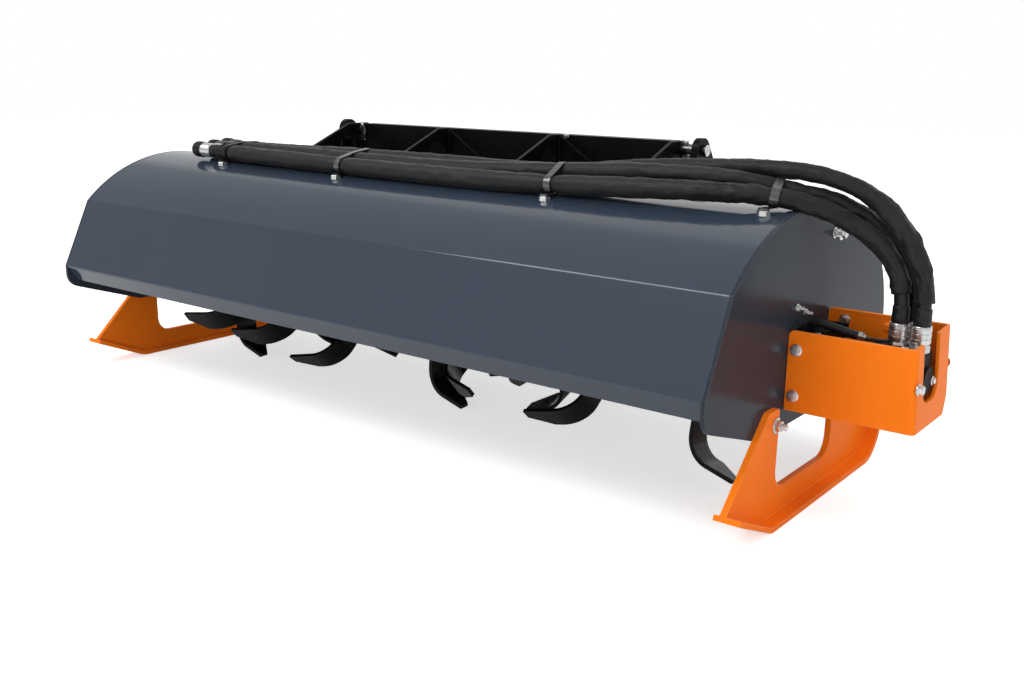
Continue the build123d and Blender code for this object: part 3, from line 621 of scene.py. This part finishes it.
SLEEVE_RADII = {  # at stations along X
    "hose_front": (
        (-606, 18.2), (-560, 19.2), (600, 19.4), (700, 17.4), (880, 15.8), (1060, 16.2),
    ),
    "hose_middle": (
        (-606, 17.6), (-540, 18.6), (560, 18.4), (660, 16.0), (800, 15.4), (1071, 16.0),
    ),
    "hose_rear": (
        (-606, 17.0), (-540, 17.6), (560, 17.2), (700, 15.8), (980, 15.2), (1060, 17.6),
        (1097, 16.8),
    ),
}
SLEEVE_START = {"hose_front": 0.036, "hose_middle": 0.024, "hose_rear": 0.026}
SLEEVE_END = 0.004
SLEEVE_STEP = 0.004
SLEEVE_SIDES = 36
MOUTH_X = -606
MOUTH_REACH = 0.012  # length over which a sleeve is gathered at its mouths, in metres
MOUTH_GATHER = 1.4
MOUTH_RIM = 0.28  # share of the radius that the rim at each mouth covers
CLAMP_X = (-575.0, -162.0, 414.0, 850.0)
CLAMP_BORE = 15.4
CLAMP_HALF = 9.0
CLAMP_REACH = 9.0
LOOSE_FROM = 1.6  # a sleeve this much wider than a clamp's bore wrinkles in full
LOOSE_ARCH = 0.55
ARCH_X = 600  # where the hoses begin to rise, and the wrinkles with them
ARCH_RISE = 200


def girth(name, x):
    """Loose sleeve's radius in millimetres at x, gathered where a clamp holds it."""
    stations = SLEEVE_RADII[name]
    size = stations[0][1] if x < stations[0][0] else stations[-1][1]
    for (low, first), (high, second) in zip(stations, stations[1:]):
        if low <= x <= high:
            size = first + (second - first) * (x - low) / (high - low)
    for clamp in CLAMP_X:
        away = max(abs(x - clamp) - CLAMP_HALF, 0.0)
        gathered = 1 - math.exp(-away / CLAMP_REACH)
        size = min(size, CLAMP_BORE + max(size - CLAMP_BORE, 0) * gathered)
    return size


def route_spline(name, route, bevel):
    """NURBS curve with the route's points as its control points."""
    data = bpy.data.curves.new(name, "CURVE")
    data.dimensions = "3D"
    spline = data.splines.new("NURBS")
    spline.points.add(len(route) - 1)
    for point, place in zip(spline.points, route):
        point.co = (*at(*place), 1)
    spline.order_u = 3
    spline.use_endpoint_u = True
    spline.resolution_u = 12
    data.bevel_depth = mm(bevel)
    data.bevel_resolution = 6
    data.use_fill_caps = True
    return add_object(name, data)


def centreline(route):
    """Points in metres along the route's smooth spline."""
    made = route_spline("centreline", route, 0)
    depsgraph = bpy.context.evaluated_depsgraph_get()
    data = bpy.data.meshes.new_from_object(made.evaluated_get(depsgraph))
    points = [vertex.co.copy() for vertex in data.vertices]
    bpy.data.objects.remove(made)
    bpy.data.meshes.remove(data)
    return points


def resample(points, step):
    """Points at an even spacing along a line, in metres."""
    made = [points[0]]
    left_over = step
    for before, after in zip(points, points[1:]):
        length = (after - before).length
        done = 0.0
        while length - done >= left_over:
            done += left_over
            made.append(before.lerp(after, done / length))
            left_over = step
        left_over -= length - done
    return made


def running_lengths(points):
    """Length of a line from its start to each of its points."""
    made = [0.0]
    for before, after in zip(points, points[1:]):
        made.append(made[-1] + (after - before).length)
    return made


# depth of a loose sleeve's wrinkles in millimetres, and what the arch adds to it
BILLOW_DEPTH = (1.1, 0.6)
FOLD_DEPTH = (1.2, 1.5)
CREASE_DEPTH = (0.6, 1.3)
FUZZ_DEPTH = 0.2


def wrinkle(place, run, turn, plain, arch, seed):
    """Radius of a sleeve with its folds, in millimetres, at a place on its plain round form."""

    def ripple(often, drift, reach):
        across = (math.cos(turn) * reach, math.sin(turn) * reach)
        return noise.noise(Vector((run * often + drift, *across)))

    billow = noise.noise(Vector((place.x * 7 + seed, place.y * 20, place.z * 20)))
    wrinkles = (
        (BILLOW_DEPTH, billow),
        (FOLD_DEPTH, ripple(34, seed * 5, 1.5)),
        (CREASE_DEPTH, ripple(95, seed, 2.6)),
    )
    deep = sum((flat + added * arch) * height for (flat, added), height in wrinkles)
    loose = min(1.0, max(plain - CLAMP_BORE, 0.0) / LOOSE_FROM + LOOSE_ARCH * arch)
    return plain + loose * deep + FUZZ_DEPTH * ripple(260, 0, 3)


def sleeve(name, hose, line, start, seed):
    """Loose woven sleeve round a hose: wrinkled, gathered at its mouths, with UVs for the weave."""
    points = resample(line, SLEEVE_STEP)
    runs = running_lengths(points)
    end = runs[-1] - SLEEVE_END
    points, runs = zip(*(pair for pair in zip(points, runs) if start <= pair[1] <= end))
    work = bmesh.new()
    uv = work.loops.layers.uv.new("weave")
    rings = []
    for (point, side, other), run in zip(sections(points), runs):
        gather = MOUTH_GATHER * math.exp(-min(run - start, end - run) / MOUTH_REACH)
        x = (point - DATUM).x * 1000
        plain = girth(hose, x)
        arch = min(max((x - ARCH_X) / ARCH_RISE, 0.0), 1.0)
        ring = []
        for step in range(SLEEVE_SIDES):
            turn = math.tau * step / SLEEVE_SIDES
            offset = side * math.cos(turn) + other * math.sin(turn)
            radius = wrinkle(point + offset * mm(plain), run, turn, plain, arch, seed) - gather
            ring.append(work.verts.new(point + offset * mm(radius)))
        rings.append(ring)
    for low, high, low_run, high_run in zip(rings, rings[1:], runs, runs[1:]):
        for step, face in enumerate(bridge(work, low, high)):
            face.smooth = True
            first, second = step / SLEEVE_SIDES, (step + 1) / SLEEVE_SIDES
            corners = (
                (first, low_run), (second, low_run), (second, high_run), (first, high_run),
            )
            for loop, corner in zip(face.loops, corners):
                loop[uv].uv = corner
    # rims that close the gap between the mouths and the hose
    for tip in (0, -1):
        inner = [work.verts.new(points[tip].lerp(v.co, 1 - MOUTH_RIM)) for v in rings[tip]]
        bridge(work, rings[tip], inner)
    bmesh.ops.recalc_face_normals(work, faces=work.faces)
    data = bpy.data.meshes.new(name)
    work.to_mesh(data)
    work.free()
    made = add_object(name, data)
    data.materials.append(WOVEN)
    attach(made, "chassis")
    return made


def coupler(number, end, before):
    """Quick coupler: crimped body, knurled zinc ring, ribbed dust cap."""
    matrix = turned(end - before, end)
    body = Bag()
    body.lathe(
        [
            (0, -2), (14, -2), (16, 0), (16, 6), (15, 7.5), (16, 9), (16, 24), (14, 27), (14, 34),
            (0, 34),
        ],
        matrix, segments=32,
    )
    body.lathe(
        [
            (0, 73), (18.6, 73), (19.6, 75), (19.6, 80), (18.9, 81), (18.9, 83), (19.6, 84),
            (19.6, 94), (18.4, 98), (0, 99.5),
        ],
        matrix, segments=32,
    )
    black = body.make(f"coupler_body_{number}", BLACK_PLASTIC, "chassis")
    ring = Bag()
    profile = [(0, 33.8), (15.6, 33.8), (17.6, 35.5)]
    for step in range(8):
        profile += [(17.8, 37 + 4 * step), (17.1, 39 + 4 * step)]
    profile += [(17.6, 71), (16.5, 73.2), (0, 73.2)]
    ring.lathe(profile, matrix, segments=40)
    material = ZINC_STEEL if number == 1 else STRAP_STEEL
    silver = ring.make(f"coupler_ring_{number}", material, "chassis")
    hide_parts(f"coupler_{number}")
    return [black, silver]


def ferrule(name, place, node_name):
    """Hexagon nut, grooved crimped collar and rubber cuff that hold a hose on its port."""
    matrix = turned((0, 0, 1), place)
    bag = Bag()
    hexagon = [(0, 0), (15.4, 0), (16.4, 1.2), (16.4, 11.8), (15.4, 13.2), (0, 13.2)]
    bag.lathe(hexagon, matrix, segments=6, phase=0.35)
    profile = [(0, 13), (12.6, 13), (12.6, 15.5), (16.2, 16.5)]
    for step in range(3):
        low = 17.5 + 9.2 * step
        profile += [(16.9, low), (16.9, low + 6.6), (15.7, low + 7.4), (15.7, low + 8.6)]
    profile += [(16.8, 45.4), (16.2, 46.4), (13.4, 46.8), (0, 46.8)]
    bag.lathe(profile, matrix, segments=24)
    made = bag.make(name, ZINC_STEEL, "chassis")
    cuff = Bag()
    profile = [
        (0, 46.6), (14.2, 46.6), (14.8, 47.6), (14.8, 61), (14.2, 62.2), (14.4, 63.4), (14.4, 74),
        (13.4, 75.4), (0, 75.4),
    ]
    cuff.lathe(profile, matrix, segments=32)
    cuff.make(name + "_cuff", RUBBER, "chassis")
    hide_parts(node_name)


lines = {name: centreline(route) for name, route in HOSE_ROUTES.items()}
for number, (name, line) in enumerate(lines.items(), 1):
    core = route_spline(name + "_core", HOSE_ROUTES[name], CORE_RADIUS)
    core.data.materials.append(RUBBER)
    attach(core, "chassis")
    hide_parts(name)
    cover = sleeve(name + "_sleeve", name, line, SLEEVE_START[name], 3.1 * number)
    end_pieces = coupler(number, line[-1], line[-2])
    length = running_lengths(line)[-1]
    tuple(line[0])

PORT_TOP_Z = 312.0
ferrule("port_crimp_front", at(1060, 316, PORT_TOP_Z), "port_fitting_1")
ferrule("port_crimp_rear", at(1097, 316, PORT_TOP_Z), "port_fitting_2")
ferrule("port_crimp_middle", at(1071, 350, PORT_TOP_Z), "port_fitting_drain")

# --- Fasteners -----------------------------------------------------------------------------------

RIGHT = Vector((1, 0, 0))
LEFT = Vector((-1, 0, 0))
FRONT = Vector((0, -1, 0))
BACK = Vector((0, 1, 0))
UP = Vector((0, 0, 1))
SIDES = ((1, RIGHT), (-1, LEFT))
bolts = Bag()

# skids, one nut proud of each plate, and the big screws high on the end plates
for sign, out_way in SIDES:
    for y, z in ((178, 178), (520, 178)):
        outside = at(sign * (HALF_LENGTH + SKID_PLATE), y, z)
        inside = at(sign * (HALF_LENGTH - END_PLATE), y, z)
        bolts.nut(outside, out_way, 19, 9, 12, 11, 15)
        bolts.bolt(inside, -out_way, 19, 8, 15)
    bolts.bolt(at(sign * HALF_LENGTH, 436, 483), out_way, 19, 9, 14.5)
    bolts.nut(at(sign * HALF_LENGTH, 402, 486), out_way, 14, 6, 9, 10, 10)
for y, z in ((257, 370), (295, 355)):
    bolts.nut(at(HALF_LENGTH, y, z), RIGHT, 10, 4, 7, 9, 7.5)

# guard
for z in (302, 219.5):
    bolts.bolt(at(916, 230, z), FRONT, 16, 7.5, 10.8, turn=0.4)
    bolts.bolt(at(916, 410, z + 18), BACK, 16, 7.5, 10.8)
bolts.bolt(at(933, 404, 328), FRONT, 15, 7, 10.5, turn=0.2)
bolts.bolt(at(1117, 336, 262), RIGHT, 10, 4, 8.5)
bolts.bolt(at(1123.4, 241, 268.5), RIGHT, 15, 8, 10.5)
for y in (285, 347):
    bolts.bolt(at(958, y, 300), RIGHT, 13, 6, 9)

# hitch
for x in (188, 498):
    bolts.bolt(at(x, BEAM_FRONT_Y, 619), FRONT, 11, 5, 7)
for x, z in ((-474, 617), (507, 592)):
    bolts.bolt(at(x, BEAM_FRONT_Y, z), FRONT, 8, 4, 5)
peg = [(0, 0), (4.5, 0), (4.5, 15), (3.5, 16), (0, 16)]
bolts.lathe(peg, turned(UP, at(166, 559, 568)), segments=16)

# bright turned ends of the pins
pin_end = [(0, 0), (12, 0), (12, 0.6), (11, 1.6), (3, 1.6), (2, 0.8), (0, 0.8)]
for name, out_way in (("hitch_pin_left", LEFT), ("hitch_pin_right", RIGHT)):
    low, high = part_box(name)
    end_x = high[0] if out_way is RIGHT else low[0]
    end = Vector((end_x, (low[1] + high[1]) / 2, (low[2] + high[2]) / 2))
    bolts.lathe(pin_end, turned(out_way, end), segments=32)


def round_axis(x, radius, count, first):
    """Points evenly spaced round the rotor's axis, from an angle in degrees."""
    for step in range(count):
        turn = math.radians(first + 360 / count * step)
        yield at(x, AXIS_Y + radius * math.cos(turn), AXIS_Z + radius * math.sin(turn))


# bearings, with the motor's flange on the right
for place in round_axis(-HALF_LENGTH - BEARING_PLATE, 70, 4, 45):
    bolts.bolt(place, LEFT, 16, 7, 11)
for place in round_axis(HALF_LENGTH + BEARING_PLATE, 70, 4, 45):
    bolts.bolt(place, RIGHT, 13, 6, 9)
for place in round_axis(-HALF_LENGTH - BEARING_PLATE - BEARING_CAP, 46, 3, 90):
    bolts.bolt(place, LEFT, 11, 5, 8)

# hexagon nuts round the stand-offs that carry the hose clamps
POST_RADIUS = 9.5
POST_CORNER = 20.5 / math.sqrt(3)
post_nut = [(0, 0), (POST_CORNER, 0), (POST_CORNER, 8.2), (POST_CORNER * 0.9, 9.4), (0, 9.4)]
for number in range(1, len(CLAMP_X) + 1):
    low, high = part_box(f"clamp_{number}")
    foot = Vector(((low[0] + high[0]) / 2, low[1] + mm(POST_RADIUS), low[2] + mm(0.5)))
    bolts.lathe(post_nut, turned(UP, foot), segments=6, phase=0.3)
bolts.make("chassis_bolts", ZINC_STEEL, "chassis")

gold = Bag()
gold.bolt(at(1114, 410, 279), BACK, 14, 10, 10)
gold.make("guard_set_screws", YELLOW_ZINC, "chassis")

painted = Bag()
painted.bolt(at(1012, 404, 327), FRONT, 13, 6, 9)
painted.make("painted_bolt", ORANGE_PAINT, "chassis")

# rings that hold the hose sleeves at their left mouths
for number, (name, line) in enumerate(lines.items(), 1):
    band = Bag()
    size = girth(name, MOUTH_X) - 0.6
    profile = [
        (size - 5, -9), (size, -9), (size + 0.7, -8), (size + 0.7, -2.5), (size, -1.2),
        (size - 5, -1.2),
    ]
    band.lathe(profile, turned(line[-1] - line[-2], line[-1]), segments=32)
    band.make(f"sleeve_band_{number}", BLACK_PLASTIC, "chassis")

# --- Motor fittings ------------------------------------------------------------------------------

DRAIN_LINE = (
    (909, 300, 322), (912, 292, 338), (930, 290, 343), (962, 294, 336), (998, 300, 327),
)
WIRE = ((1008, 300, 325), (1032, 303, 324), (1058, 312, 326))
BLOCK_TOP_Z = 313
drain = Bag()
drain.tube(resample(centreline(DRAIN_LINE), 0.003), 7.5, segments=16)
drain.tube([at(*place) for place in WIRE], 3.2, segments=10)
cap = [(0, 0), (23, 0), (25, 1.5), (24, 4), (17, 8), (0, 8)]
drain.lathe(cap, turned(UP, at(1058, 318, BLOCK_TOP_Z)), segments=36)
plug = [(0, 0), (12, 0), (13, 2), (12, 7), (0, 8)]
drain.lathe(plug, turned(UP, at(934, 275, 312)), segments=24)
drain.make("drain_line", RUBBER, "chassis")

fitting = Bag()
union = [(0, 0), (7.5, 0), (8.6, 1), (8.6, 8), (7.5, 9), (6, 9.5), (6, 14), (0, 14)]
fitting.lathe(union, turned((0.96, 0.12, -0.2), at(996, 300, 328)), segments=6, phase=0.2)
fitting.bolt(at(934, 275, 320), UP, 11, 6, 8)
fitting.bolt(at(1078, 300, BLOCK_TOP_Z), UP, 12, 7, 9)
fitting.bolt(at(1088, 292, BLOCK_TOP_Z), UP, 11, 6, 8)
fitting.make("motor_fittings", ZINC_STEEL, "chassis")

# --- Rotor fasteners and welds -------------------------------------------------------------------

FLANGE_PITCH = 175.0
FLANGE_HALF = 5.0
TINE_THICK = 8.0
TINE_BOLTS_OUT = 74
TINE_BOLTS_APART = 30
# angle of each flange and the side on which its first tine lies
FLANGE_TURNS = ((4, 1), (36, 1), (40, 1), (52, 1), (4, 1), (42, -1), (22, -1), (48, 1), (-8, 1))
TUBE_RADIUS = 44.5
BEAD_OUT = 1.5  # from the tube and the flange to the middle of the bead in their corner
BEAD_SIDES = 7
tine_bolts = Bag()
rotor_welds = Bag()
for index, (turn, hand) in enumerate(FLANGE_TURNS):
    x = (index - (len(FLANGE_TURNS) - 1) / 2) * FLANGE_PITCH
    for step in range(4):
        side = hand * (-1) ** step
        angle = math.radians(turn + 90 * step)
        down = Vector((0, math.sin(angle), -math.cos(angle)))
        across = Vector((0, math.cos(angle), math.sin(angle)))
        for shift in (-TINE_BOLTS_APART / 2, TINE_BOLTS_APART / 2):
            place = at(x, AXIS_Y, AXIS_Z) + down * mm(TINE_BOLTS_OUT) + across * mm(shift)
            on_tine = place + RIGHT * mm(side * (FLANGE_HALF + TINE_THICK))
            on_flange = place - RIGHT * mm(side * FLANGE_HALF)
            tine_bolts.bolt(on_tine, RIGHT * side, 15, 7, 0)
            tine_bolts.nut(on_flange, -RIGHT * side, 15, 8, 9, 5, 11)
    for side in (-1, 1):
        weld_x = x + side * (FLANGE_HALF + BEAD_OUT)
        ring = [*round_axis(weld_x, TUBE_RADIUS + BEAD_OUT, 96, 0)]
        rotor_welds.tube([*ring, ring[0]], 3.6, BEAD_SIDES, ripple=0.14, pitch=5.0)
tine_bolts.make("tine_bolts", ZINC_STEEL, "rotor")
rotor_welds.make("rotor_welds", BLACK_PAINT, "rotor", smooth=60)

# --- Weld beads ----------------------------------------------------------------------------------

BEAD_STEP = 0.0018
SOLE_Z = 10.5  # where the plates of the skids stand on their soles


def bead(bag, first, last, radius):
    """Straight weld bead between two points of the drawing."""
    a, b = at(*first), at(*last)
    count = max(int((b - a).length / BEAD_STEP), 2)
    points = [a.lerp(b, step / count) for step in range(count + 1)]
    bag.tube(points, radius, BEAD_SIDES, ripple=0.13, pitch=4.6)


skid_welds = Bag()
for sign in (-1, 1):
    for x in (HALF_LENGTH - 0.5, HALF_LENGTH + SKID_PLATE + 0.5):
        bead(skid_welds, (sign * x, 150, SOLE_Z), (sign * x, 560, SOLE_Z), 2.2)
skid_welds.make("skid_welds", ORANGE_PAINT, "chassis", smooth=60)

hitch_welds = Bag()
low, high = ((Vector(corner) - DATUM) * 1000 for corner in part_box("hitch_beam"))
foot_z, head_z = low.z + 18, high.z - 16  # clear of the beam's edges
for x in (-484, -169, 169, 484):
    for side in (-4.5, 4.5):
        foot = (x + side, BEAM_FRONT_Y - 0.6, foot_z)
        head = (x + side, BEAM_FRONT_Y - 0.6, head_z)
        bead(hitch_welds, foot, head, 2.4)
hitch_welds.make("hitch_welds", BLACK_PAINT, "chassis", smooth=60)
